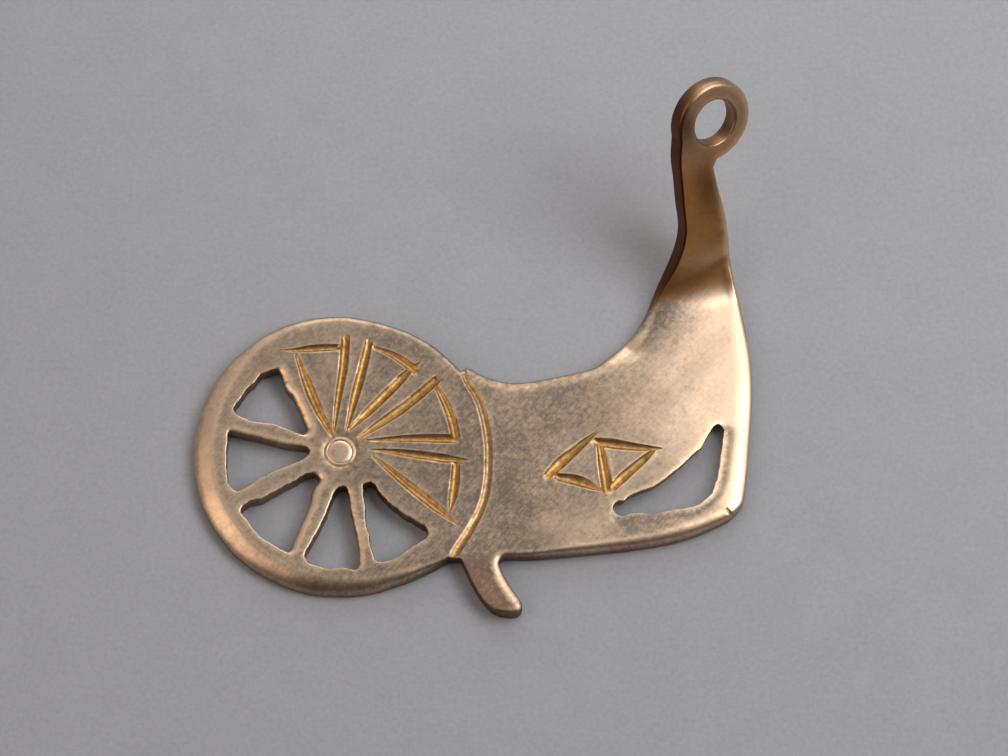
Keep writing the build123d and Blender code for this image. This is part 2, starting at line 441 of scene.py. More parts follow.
@dataclass(frozen=True)
class Cut:
    """A graver stroke: a hollow groove along a curve, with metal thrown up beside it.

    halves are its half widths, spread evenly over its length, and depth is a share of them. Past the
    groove's edge the burr is highest at crest and ends at foot, and the bright lip ends at lip.
    """

    knots: Pairs
    halves: tuple[float, ...]
    depth: float = 0.60
    burr: float = 0.009
    bright: float = 1.0
    widen: float = 1.20
    step: float = 0.09
    thinnest: float = 0.03
    crest: float = 0.035
    foot: float = 0.09
    lip: float = 0.07

    def line(self) -> tuple[Array, Array]:
        """Centre line and half widths.

        Returns:
            Samples of the line, and the half width at each.
        """
        line = spline(self.knots, self.step)
        length = np.append(0, np.cumsum(np.linalg.norm(np.diff(line, axis=0), axis=1)))
        share = length / length[-1]
        return line, self.widen * np.interp(share, np.linspace(0, 1, len(self.halves)), self.halves)

    def rails(self) -> list[Array]:
        """Lines beside the groove that its triangles follow, from one burr to the other.

        Returns:
            The centre line and the lines on both sides of it.
        """
        line, half = self.line()
        ahead = np.gradient(line, axis=0)
        aside = np.column_stack((-ahead[:, 1], ahead[:, 0]))
        aside /= np.linalg.norm(ahead, axis=1)[:, None]
        half = np.maximum(half, self.thinnest)[:, None]
        spread = [share * half for share in (0.35, 0.7, 1.0)]
        spread += [half + reach for reach in (self.crest, self.foot)]
        return [line] + [line + side * aside * reach for side in (-1, 1) for reach in spread]

    def sink(self, points: Array) -> tuple[Array, Array, Array, Array]:
        """Depth of the groove: a parabola across it, nothing at the half width.

        Args:
            points: flat-pattern points.

        Returns:
            Depth, height of the burr (a bump past the half width), how far a point is in the cut, and
            how far it is on the bright lip beside it.
        """
        line, half = self.line()
        distance, place = nearest(points, line)
        wide = np.maximum(np.interp(place, np.arange(len(half)), half), 1e-3)
        hold = smooth(wide / (2 * self.thinnest))
        depth = self.depth * wide * np.clip(1 - (distance / wide) ** 2, 0, 1)
        out = distance - np.maximum(wide, self.thinnest)
        # the burr swells and sinks along the stroke
        swell = 0.7 + 0.3 * np.sin(place * 0.23 + self.knots[0][0])
        bump = np.minimum(out / self.crest, (self.foot - out) / (self.foot - self.crest))
        raised = self.burr * swell * hold * np.clip(bump, 0, 1)
        edge = np.minimum(1.6 + out / self.thinnest, (self.lip - out) / self.crest)
        within = self.bright * hold * smooth((1.06 - distance / wide) * 4)
        return depth, raised, within, hold * np.clip(edge, 0, 1)


@dataclass(frozen=True)
class Relief:
    """The engraved face over the flat pattern: flattened by hand, bowed, struck and cut.

    hollow is the line that the trough follows. A wave is its height, its radians per millimetre of x
    and of y, and its phase. bow_way gives the shares of x and y in the distance over which the body
    bows. The flare at the neck's root comes and goes along the strip over flare_in and flare_out, and
    starts at flare_left across it. A ring is its radius, half width and depth.
    """

    cuts: tuple[Cut, ...]
    fold: Fold
    hollow: Array
    worn_off: float = 0.02
    waves: tuple[Four, ...] = (
        (0.014, 0.9, 0.5, 1.0), (0.008, -0.7, 1.5, 2.0),
        (0.003, 2.3, 1.9, 0.0), (0.003, 2.9, -2.2, 0.7))
    bow: float = 0.24
    bow_way: Pair = (0.95, 0.3)
    bow_from: float = 11.0
    bow_run: float = 6.0
    bow_most: float = 1.3
    bow_end: float = 3.5
    flare: float = 0.07
    flare_reach: float = 1.9
    flare_in: Pair = (-0.9, 0.9)
    flare_out: Pair = (1.6, 1.6)
    flare_left: Pair = (-4.6, 0.9)
    trough: float = 0.035
    trough_at: float = 0.26
    trough_width: float = 0.15
    first: tuple[float, float, float] = (0.72, 0.09, 0.035)
    second: tuple[float, float, float] = (0.92, 0.09, 0.03)
    second_at: Pair = (0.09, 0.11)

    def face(self, points: Array) -> tuple[Array, Array, Array]:
        """Height of the face: the sheet, its waves and bow, struck rings, graver cuts and burrs.

        The waves are sines of a few millimetres' length. The body bows down towards its right end as
        the square of the distance past its middle, and so does the left edge of the neck's root; both
        die out up the neck. A shallow trough follows the lower and right edges of the opening as a
        bell over the distance from them. Each struck ring is a V over the distance from a circle; the
        second one fades out towards the lower left.

        Args:
            points: flat-pattern points.

        Returns:
            Heights, and how far each point is in a cut and on a cut's bright lip, from 0 to 1.
        """
        x, y = points.T
        wave = sum(high * np.sin(by_x * x + by_y * y + phase) for high, by_x, by_y, phase in self.waves)
        along, across = self.fold.strip(points)
        past = self.bow_way[0] * x + self.bow_way[1] * y - self.bow_from
        lean = np.clip(past / self.bow_run, 0, self.bow_most)
        wave -= self.bow * lean**2 * (1 - smooth(along / self.bow_end))
        table = np.array(self.fold.stations)
        left = np.interp(along, table[:, 0], table[:, 1])
        root = ramp(along, *self.flare_in) * (1 - ramp(along, *self.flare_out))
        root = root * ramp(across, *self.flare_left)
        near = np.clip(self.flare_reach - (across - left), 0, self.flare_reach)
        wave -= self.flare * root * near**2
        wave -= self.trough * bell((nearest(points, self.hollow)[0], self.trough_at, self.trough_width))
        depth, raised, cut, lip = np.zeros((4, len(points)))
        for stroke in self.cuts:
            sunk, burr, within, beside = stroke.sink(points)
            depth, raised = np.maximum(depth, sunk), np.maximum(raised, burr)
            cut, lip = np.maximum(cut, within), np.maximum(lip, beside)
        radius, half, deep = self.first
        first = np.clip(1 - np.abs(np.hypot(x, y) - radius) / half, 0, 1)
        struck = deep * first
        radius, half, deep = self.second
        far_x, far_y = x - self.second_at[0], y - self.second_at[1]
        fade = smooth(0.55 + 0.6 * np.sin(np.arctan2(far_y, far_x) + 0.6))
        second = fade * np.clip(1 - np.abs(np.hypot(far_x, far_y) - radius) / half, 0, 1)
        struck = np.maximum(struck, deep * second)
        height = SHEET - self.worn_off + wave - np.maximum(depth, struck) + raised * (depth < 0.01)
        return height, np.maximum(cut, 0.5 * np.maximum(first, second)), lip * (cut < 0.45)


def add_node(tree: bpy.types.NodeTree, kind: str, settings: dict, inputs: dict) -> bpy.types.Node:
    """Adds a shader node.

    Args:
        tree: node tree that it goes into.
        kind: node type.
        settings: attributes of the node.
        inputs: socket name or number to a constant, or to the output socket that feeds it.

    Returns:
        The node.
    """
    node = tree.nodes.new(kind)
    for name, value in settings.items():
        setattr(node, name, value)
    for name, value in inputs.items():
        if isinstance(value, bpy.types.NodeSocket):
            tree.links.new(value, node.inputs[name])
        else:
            node.inputs[name].default_value = value
    return node


@dataclass(frozen=True)
class WornBrass:
    """Hand-worn brass sheet: sawn, filed, engraved and handled until its edges shine."""

    name: str = "worn_filed_brass"
    # clean: pale rubbed metal, also the colour of painted highlights on the edges
    clean: str = "#f0cfae"
    dull: str = "#85776a"
    spot: str = "#7a7066"
    fresh: str = "#cba267"
    stain: str = "#966626"
    tarnish: str = "#cc8a46"
    # grime, and painted shade on the walls
    grime_and_shade: str = "#5e3618"
    patch_mm: float = 1.6
    spot_mm: float = 0.42
    grain_mm: float = 0.22
    scratch_mm: float = 0.10
    scratch_long_mm: float = 0.7
    scratch_turn: float = 47.0
    bump_mm: float = 0.03

    def material(self) -> bpy.types.Material:
        """Makes the finish.

        Brass that has been worn keeps a warm pale gloss on its edges, a duller, greyer skin with dark
        specks on its flats and yellow metal in the graver cuts. The pale gloss also stands in for
        painted highlights on edges that catch the light, and the walls take grime and painted shade.
        Scratches run from lower left to upper right. Real scratches are a few hundredths of a
        millimetre wide, and are drawn two or three times as wide so that they show.

        Returns:
            The material.
        """
        material = bpy.data.materials.new(self.name)
        material.use_nodes = True
        tree = material.node_tree
        shader = tree.nodes["Principled BSDF"]
        flat = add_node(
            tree, "ShaderNodeAttribute", {"attribute_name": "flat"}, {}).outputs["Vector"]
        cut, worn, side, aged, film = (
            add_node(tree, "ShaderNodeAttribute", {"attribute_name": mark}, {}).outputs["Fac"]
            for mark in ("cut", "worn", "side", "aged", "film"))
        patch, specks, grain = (
            add_node(tree, "ShaderNodeTexNoise", {}, {
                "Vector": flat, "Scale": 1 / size, "Detail": 6.0, "Roughness": 0.72}).outputs["Fac"]
            for size in (self.patch_mm, self.spot_mm, self.grain_mm))
        slant = add_node(tree, "ShaderNodeMapping", {"vector_type": "TEXTURE"}, {
            "Vector": flat, "Rotation": (0, 0, np.radians(self.scratch_turn)),
            "Scale": (self.scratch_long_mm, self.scratch_mm, 1.0)}).outputs["Vector"]
        scratch = add_node(tree, "ShaderNodeTexNoise", {}, {
            "Vector": slant, "Scale": 1.0, "Detail": 2.0, "Roughness": 0.6}).outputs["Fac"]

        # the skin's mottle: fine grain, scratches and broad patches, each swinging about nothing
        fine, broad, streak = (
            add_node(tree, "ShaderNodeMapRange", {"clamp": True}, {
                "Value": value, "From Min": low, "From Max": high,
                "To Min": -swing, "To Max": swing}).outputs["Result"]
            for value, low, high, swing in (
                (grain, 0.34, 0.66, 0.24), (patch, 0.36, 0.64, 0.18), (scratch, 0.36, 0.64, 0.09)))
        fine = add_node(
            tree, "ShaderNodeMath", {"operation": "ADD"}, {0: fine, 1: streak}).outputs["Value"]
        mottle = add_node(
            tree, "ShaderNodeMath", {"operation": "ADD"}, {0: fine, 1: broad}).outputs["Value"]

        # the skin: livelier where the film is thick, and rubbed off where the metal is worn and where a
        # highlight is painted
        lively = add_node(tree, "ShaderNodeMath", {"operation": "MULTIPLY_ADD", "use_clamp": True}, {
            0: film, 1: 1.1, 2: 0.05}).outputs["Value"]
        skin = add_node(tree, "ShaderNodeMath", {"operation": "MULTIPLY_ADD"}, {
            0: mottle, 1: lively, 2: film}).outputs["Value"]
        shown = add_node(tree, "ShaderNodeMath", {"operation": "MULTIPLY_ADD", "use_clamp": True}, {
            0: worn, 1: -0.95, 2: skin}).outputs["Value"]
        dulled = add_node(tree, "ShaderNodeMix", {"data_type": "RGBA"}, {
            "Factor": shown, "A": linear(self.clean), "B": linear(self.dull)}).outputs["Result"]

        # dark specks in the skin
        dark = add_node(tree, "ShaderNodeMapRange", {"clamp": True}, {
            "Value": specks, "From Min": 0.54, "From Max": 0.68, "To Max": 0.8}).outputs["Result"]
        dark = add_node(
            tree, "ShaderNodeMath", {"operation": "MULTIPLY"}, {0: dark, 1: shown}).outputs["Value"]
        flecked = add_node(tree, "ShaderNodeMix", {"data_type": "RGBA"}, {
            "Factor": dark, "A": dulled, "B": linear(self.spot)}).outputs["Result"]

        # yellow metal in the graver cuts, stained in flecks
        soiled = add_node(tree, "ShaderNodeMapRange", {"clamp": True}, {
            "Value": grain, "From Min": 0.36, "From Max": 0.66}).outputs["Result"]
        groove = add_node(tree, "ShaderNodeMix", {"data_type": "RGBA"}, {
            "Factor": soiled, "A": linear(self.fresh), "B": linear(self.stain)}).outputs["Result"]
        tone = add_node(tree, "ShaderNodeMix", {"data_type": "RGBA"}, {
            "Factor": cut, "A": flecked, "B": groove}).outputs["Result"]

        # tarnish, thinner on the specks, and over all of it grime and painted shade
        even = add_node(tree, "ShaderNodeMapRange", {"clamp": True}, {
            "Value": specks, "From Min": 0.42, "From Max": 0.64,
            "To Min": 1.0, "To Max": 0.70}).outputs["Result"]
        aged = add_node(
            tree, "ShaderNodeMath", {"operation": "MULTIPLY"}, {0: aged, 1: even}).outputs["Value"]
        neck = add_node(tree, "ShaderNodeMix", {"data_type": "RGBA"}, {
            "Factor": aged, "A": tone, "B": linear(self.tarnish)}).outputs["Result"]
        # the walls take grime and painted shade
        wall = add_node(tree, "ShaderNodeMix", {"data_type": "RGBA"}, {
            "Factor": side, "A": neck, "B": linear(self.grime_and_shade)}).outputs["Result"]
        tree.links.new(wall, shader.inputs["Base Color"])
        shader.inputs["Metallic"].default_value = 1.0

        # gloss: the skin is rougher than bare metal, and a graver leaves a smooth cut
        rough = add_node(tree, "ShaderNodeMapRange", {"clamp": True}, {
            "Value": skin, "From Min": 0.0, "From Max": 1.2,
            "To Min": 0.33, "To Max": 0.46}).outputs["Result"]
        rough = add_node(tree, "ShaderNodeMath", {"operation": "MULTIPLY_ADD"}, {
            0: cut, 1: -0.03, 2: rough}).outputs["Value"]
        tree.links.new(rough, shader.inputs["Roughness"])

        # bump: scratches, then pits, both stronger in the skin
        keen, deep = (
            add_node(tree, "ShaderNodeMath", {"operation": "MULTIPLY_ADD"}, {
                0: film, 1: gain, 2: 0.02}).outputs["Value"]
            for gain in (0.12, 0.16))
        lines = add_node(tree, "ShaderNodeBump", {}, {
            "Height": scratch, "Strength": keen, "Distance": self.bump_mm * MM})
        pits = add_node(tree, "ShaderNodeBump", {}, {
            "Height": grain, "Normal": lines.outputs["Normal"], "Strength": deep,
            "Distance": self.bump_mm * MM})
        tree.links.new(pits.outputs["Normal"], shader.inputs["Normal"])
        return material


@dataclass(frozen=True)
class GreyPaper:
    """Matt grey backdrop paper with a faint mottle."""

    name: str = "grey_backdrop_paper"
    pale: str = "#afb0b5"
    dark: str = "#9e9fa4"
    fleck_mm: float = 2.5
    fibre_mm: float = 0.22

    def material(self) -> bpy.types.Material:
        """Makes the finish: uncoated paper has no gloss, only fibres and clouds in its grey.

        Returns:
            The material.
        """
        material = bpy.data.materials.new(self.name)
        material.use_nodes = True
        tree = material.node_tree
        shader = tree.nodes["Principled BSDF"]
        spot = add_node(tree, "ShaderNodeTexCoord", {}, {}).outputs["Object"]
        cloud, fibre = (
            add_node(tree, "ShaderNodeTexNoise", {}, {
                "Vector": spot, "Scale": 1 / (size * MM), "Detail": 4.0,
                "Roughness": 0.7}).outputs["Fac"]
            for size in (self.fleck_mm, self.fibre_mm))
        mixed = add_node(tree, "ShaderNodeMath", {"operation": "MULTIPLY_ADD"}, {
            0: fibre, 1: 3.0, 2: cloud}).outputs["Value"]
        share = add_node(tree, "ShaderNodeMath", {"operation": "MULTIPLY_ADD", "use_clamp": True}, {
            0: mixed, 1: 0.6, 2: -0.70}).outputs["Value"]
        tone = add_node(tree, "ShaderNodeMix", {"data_type": "RGBA"}, {
            "Factor": share, "A": linear(self.pale), "B": linear(self.dark)})
        tree.links.new(tone.outputs["Result"], shader.inputs["Base Color"])
        shader.inputs["Roughness"].default_value = 0.9
        shader.inputs["Specular IOR Level"].default_value = 0.2
        return material


def make_piece(name: str, spots: Array, faces: list, marks: dict[str, Array]) -> bpy.types.Object:
    """Makes a closed piece from points and faces, merges its seams and shades it smooth.

    Args:
        name: name of the piece.
        spots: points in metres.
        faces: corner numbers of the faces.
        marks: values at the points, by attribute name: one number each, or three.

    Returns:
        The object, at the origin.
    """
    mesh = bpy.data.meshes.new(name)
    mesh.from_pydata(spots.tolist(), [], faces)
    for mark, values in marks.items():
        kind, field = ("FLOAT", "value") if values.ndim == 1 else ("FLOAT_VECTOR", "vector")
        made = mesh.attributes.new(mark, kind, "POINT")
        made.data.foreach_set(field, values.astype(np.float32).ravel())
    shell = bmesh.new()
    shell.from_mesh(mesh)
    bmesh.ops.remove_doubles(shell, verts=shell.verts, dist=MERGE)
    bmesh.ops.dissolve_degenerate(shell, edges=shell.edges, dist=DEGENERATE)
    bmesh.ops.recalc_face_normals(shell, faces=shell.faces)
    shell.to_mesh(mesh)
    loose = sum(not edge.is_manifold for edge in shell.edges)
    shell.free()
    mesh.shade_smooth()
    mesh.set_sharp_from_angle(angle=np.radians(SHARP))
    piece = bpy.data.objects.new(name, mesh)
    bpy.context.scene.collection.objects.link(piece)
    LOG.info("%s: %d faces, %d open edges", name, len(mesh.polygons), loose)
    return piece


@dataclass
class CharmPlate:
    """The sawn, engraved and folded sheet: wheel, body, prop leg, neck and loop in one piece."""

    fold: Fold = Fold()
    finish: WornBrass = WornBrass()

    # distances between points along the edges, along sawn edges, over the face and over the back
    step: float = 0.09
    saw_step: float = 0.06
    filler: float = 0.13
    back_filler: float = 0.40

    # least distance of a rail from the border, and room that the grid leaves, in shares of its spacing
    rail_room: float = 0.05
    grid_room: float = 0.6

    # points on the rim, in the notch, and round the loop, each drilled hole and the struck ring
    rim_steps: int = 360
    notch_steps: int = 8
    loop_steps: int = 110
    round_steps: int = 72
    ring_steps: int = 60

    # neighbours that smooth the wear of the outline and of the holes, and the direction of a sawn edge
    edge_blur: int = 4
    hole_blur: int = 3
    saw_stride: int = 6

    # the wheel's rim by angle, and its ripple as height, waves a turn and phase
    rim_turns: tuple[float, ...] = (
        36, 50, 60, 70, 82, 92, 105, 135, 155, 170, 230, 260, 290, 302, 311, 314)
    rim_radii: tuple[float, ...] = (
        6.60, 6.57, 6.50, 6.47, 6.50, 6.56, 6.61, 6.63, 6.60, 6.55, 6.55, 6.58, 6.60, 6.72, 6.87, 6.94)
    rim_ripple: Rows = ((0.010, 13, 0), (0.006, 29, 1))

    # the outline on the pattern, from the rim's lower end round to its upper end
    notch: Pairs = ((4.82, -4.99), (5.38, -4.98))
    leg_back: Pairs = (
        (5.42, -5.04), (5.57, -5.38), (5.92, -6.14), (6.36, -6.88), (6.90, -7.40), (7.42, -7.54))
    leg_side: Pairs = (
        (7.42, -7.54), (7.90, -7.50), (8.10, -7.20), (7.84, -6.66), (7.42, -6.00), (7.16, -5.46),
        (7.09, -5.16), (7.19, -4.96), (7.42, -4.86))
    bottom: Pairs = (
        (7.42, -4.86), (8.60, -4.86), (10.40, -4.70), (13.00, -4.41), (15.50, -3.87), (17.28, -3.05))
    right: Pairs = (
        (17.28, -3.05), (17.84, -2.42), (18.05, -1.50), (18.39, 2.40), (18.35, 4.90), (17.92, 7.50))
    top: Pairs = (
        (12.894, 5.514), (12.70, 5.33), (12.40, 5.04), (11.58, 4.22), (10.70, 3.86), (9.30, 3.56),
        (7.70, 3.34), (6.40, 3.66), (5.90, 3.94), (5.60, 4.05), (5.44, 3.92))

    # the loop along and across the strip: its ring, the step at its right foot, and the knots of the
    # neck's left edge at the loop and at the root
    loop_at: Pair = (9.09, 3.51)
    loop_r: float = 1.90
    loop_span: Pair = (-100.0, 177.0)
    corner: Pairs = ((6.94, 2.90), (7.06, 3.04))
    neck_head: Pairs = ((8.6, 1.40), (8.1, 1.25))
    neck_root: Pair = (0.42, -3.25)

    # drilled holes: the hanging hole and the hub, with the rounding of their mouths
    loop_hole_r: float = 1.06
    loop_hole_wear: float = 0.13
    hub_r: float = 0.55
    hub_wear: Pair = (0.06, 0.03)

    windows: tuple[Pairs, ...] = (
        ((-4.79, 2.13), (-4.54, 2.47), (-4.33, 2.85), (-4.14, 3.09), (-3.89, 3.33), (-3.67, 3.64),
         (-3.41, 3.81), (-2.94, 3.96), (-2.78, 3.91), (-2.67, 3.64), (-2.56, 3.24), (-2.39, 2.98),
         (-2.18, 2.74), (-2.01, 2.40), (-1.65, 1.58), (-1.52, 1.17), (-1.50, 1.00), (-1.64, 0.85),
         (-1.89, 0.90), (-2.60, 1.19), (-2.99, 1.34), (-3.88, 1.46), (-4.26, 1.60), (-4.56, 1.72),
         (-4.72, 1.89)),
        ((-4.98, 0.93), (-4.86, 1.00), (-4.57, 0.93), (-3.67, 0.71), (-2.90, 0.49), (-2.08, 0.31),
         (-1.47, 0.22), (-1.36, 0.05), (-1.43, -0.16), (-1.68, -0.36), (-2.50, -0.73), (-3.51, -1.21),
         (-3.94, -1.54), (-4.26, -1.74), (-4.57, -1.86), (-4.80, -1.71), (-4.96, -1.38), (-5.05, -0.36),
         (-5.05, 0.12), (-5.02, 0.59)),
        ((-4.34, -2.71), (-4.20, -2.50), (-3.96, -2.34), (-3.68, -2.27), (-3.38, -2.18), (-2.78, -1.82),
         (-1.73, -1.20), (-1.49, -1.03), (-1.29, -1.00), (-1.07, -1.04), (-0.90, -1.23), (-0.93, -1.41),
         (-1.15, -1.71), (-1.30, -2.33), (-1.64, -3.27), (-2.04, -4.33), (-2.20, -4.70), (-2.36, -4.68),
         (-2.95, -4.33), (-3.54, -3.91), (-3.93, -3.39), (-4.16, -3.09), (-4.32, -2.89)),
        ((-0.12, -1.75), (0.07, -1.65), (0.25, -1.65), (0.37, -1.82), (0.48, -2.56), (0.72, -3.64),
         (0.89, -4.64), (0.90, -5.17), (0.78, -5.51), (0.56, -5.52), (0.24, -5.44), (-0.14, -5.49),
         (-0.58, -5.47), (-0.96, -5.36), (-1.27, -5.24), (-1.47, -4.97), (-1.44, -4.70), (-0.95, -3.74),
         (-0.49, -2.66), (-0.31, -2.12)),
        ((1.05, -1.62), (1.14, -1.48), (1.33, -1.43), (1.52, -1.52), (1.84, -1.99), (2.48, -2.63),
         (3.18, -3.13), (3.81, -3.53), (3.91, -3.70), (3.91, -3.90), (3.75, -4.11), (3.00, -4.61),
         (2.63, -4.90), (2.32, -5.07), (2.00, -5.17), (1.69, -5.14), (1.56, -4.90), (1.36, -4.17),
         (1.35, -3.90), (1.23, -3.57), (1.15, -2.63)),
    )
    opening: Pairs = (
        (12.13, -2.65), (12.22, -2.45), (12.40, -2.32), (12.59, -2.33), (12.88, -2.09), (13.85, -1.68),
        (14.59, -1.15), (15.35, -0.48), (15.72, -0.08), (16.06, 0.22), (16.25, 0.55), (16.67, 1.27),
        (16.86, 1.38), (17.05, 1.27), (17.09, 0.95), (16.95, -0.01), (16.78, -1.11), (16.66, -1.50),
        (16.51, -1.90), (16.24, -2.21), (15.91, -2.47), (15.46, -2.62), (14.35, -2.82), (13.91, -2.94),
        (13.39, -2.88), (12.88, -2.92), (12.51, -3.04), (12.25, -2.84))

    # knots of the opening that the trough follows
    hollow: tuple[int, int] = (14, 27)

    # each window's and the opening's right, upper, left and lower edges: how far they are rounded, and
    # how high the saw marks on them are
    hole_wear: tuple[Four, ...] = (
        (0.36, 0.06, 0.05, 0.08), (0.09, 0.16, 0.06, 0.07), (0.30, 0.06, 0.08, 0.10),
        (0.20, 0.06, 0.10, 0.07), (0.18, 0.05, 0.08, 0.07), (0.05, 0.05, 0.08, 0.06))
    hole_saw: tuple[Four, ...] = (
        (0.010, 0.008, 0.012, 0.006), (0.006, 0.006, 0.008, 0.005), (0.008, 0.014, 0.008, 0.009),
        (0.008, 0.007, 0.008, 0.007), (0.006, 0.018, 0.010, 0.006), (0.010, 0.007, 0.006, 0.009))

    # their fall as a share of the rounding, the rounding from which they were filed and over what more
    # of it, and their shine where they were not
    hole_fall: float = 0.75
    hole_filed: Pair = (0.13, 0.06)
    hole_shine: float = 0.30

    # saw marks as shares, radians per millimetre and phases, and the lean of the opening's four edges
    saw_marks: Rows = ((1.0, 8.3, 0.0), (0.8, 17.9, 1.0), (0.5, 29.0, 2.0))
    opening_lean: Four = (0.03, 0.15, 0.06, 0.0)

    # wear of each stretch: share of its run, reach, fall, share of filed slope, shine (rubbed wear and
    # painted highlight) and soiling (grime and painted shade)
    wear: tuple[tuple[Stretch, Rows], ...] = (
        (Stretch.RIM, (
            (0.00, 0.24, 0.18, 0.2, 0.10, 0.2), (0.19, 0.30, 0.20, 0.2, 0.15, 0.2),
            (0.32, 0.42, 0.26, 0.3, 0.40, 0.05), (0.41, 0.78, 0.46, 0.7, 0.55, 0.0),
            (0.52, 0.90, 0.58, 0.8, 0.60, 0.0), (0.64, 0.88, 0.60, 0.7, 0.50, 0.0),
            (0.73, 0.80, 0.68, 0.4, 0.40, 0.2), (0.81, 0.72, 0.72, 0.3, 0.15, 0.3),
            (0.90, 0.50, 0.62, 0.2, 0.30, 0.0), (0.96, 0.26, 0.36, 0.0, 0.30, 0.0),
            (1.00, 0.07, 0.07, 0.0, 0.00, 0.0))),
        (Stretch.NOTCH, ((0, 0.06, 0.06, 0.0, 0.0, 0.0),)),
        (Stretch.LEG_BACK, ((0, 0.10, 0.10, 0.0, 0.1, 0.3),)),
        (Stretch.LEG_SIDE, (
            (0, 0.20, 0.18, 0.0, 0.3, 0.2), (0.3, 0.34, 0.18, 0.4, 0.9, 0.0),
            (0.8, 0.34, 0.18, 0.4, 0.9, 0.0), (1, 0.12, 0.10, 0.0, 0.4, 0.0))),
        (Stretch.BOTTOM, (
            (0, 0.12, 0.20, 0.0, 0.3, 0.0), (0.3, 0.26, 0.40, 0.0, 0.4, 0.0),
            (0.8, 0.44, 0.48, 0.0, 0.5, 0.0), (1, 0.36, 0.36, 0.0, 0.5, 0.0))),
        (Stretch.RIGHT, (
            (0, 0.36, 0.30, 0.2, 0.5, 0.0), (0.2, 0.62, 0.20, 0.45, 0.45, 0.0),
            (0.8, 0.60, 0.18, 0.45, 0.45, 0.0), (1, 0.26, 0.14, 0.4, 0.6, 0.0))),
        (Stretch.NECK_RIGHT, (
            (0, 0.22, 0.14, 0.5, 0.6, 0.0), (0.12, 0.12, 0.10, 0.2, 0.4, 0.0),
            (0.3, 0.20, 0.14, 0.6, 0.8, 0.0), (0.7, 0.20, 0.14, 0.6, 0.9, 0.0),
            (1, 0.12, 0.10, 0.0, 0.3, 0.2))),
        (Stretch.LOOP, (
            (0, 0.24, 0.26, 0.0, 0.3, 0.0), (0.5, 0.26, 0.28, 0.0, 0.3, 0.1),
            (0.75, 0.22, 0.24, 0.0, 0.2, 0.5), (1, 0.12, 0.12, 0.0, 0.0, 1.0))),
        # the neck's left wall faces away from the lights, and its full soiling is painted shade as well
        # as grime
        (Stretch.NECK_LEFT, (
            (0, 0.10, 0.10, 0.0, 0.0, 1.0), (0.76, 0.10, 0.10, 0.0, 0.0, 1.0),
            (0.84, 0.30, 0.24, 0.0, 0.3, 0.3), (0.90, 0.45, 0.30, 0.3, 0.5, 0.0),
            (1, 0.56, 0.36, 0.3, 0.6, 0.0))),
        (Stretch.TOP, (
            (0, 0.56, 0.36, 0.3, 0.6, 0.0), (0.12, 0.48, 0.30, 0.3, 0.4, 0.2),
            (0.25, 0.42, 0.20, 0.6, 0.3, 0.28), (0.8, 0.42, 0.19, 0.6, 0.3, 0.28),
            (1, 0.30, 0.18, 0.2, 0.2, 0.2))),
    )

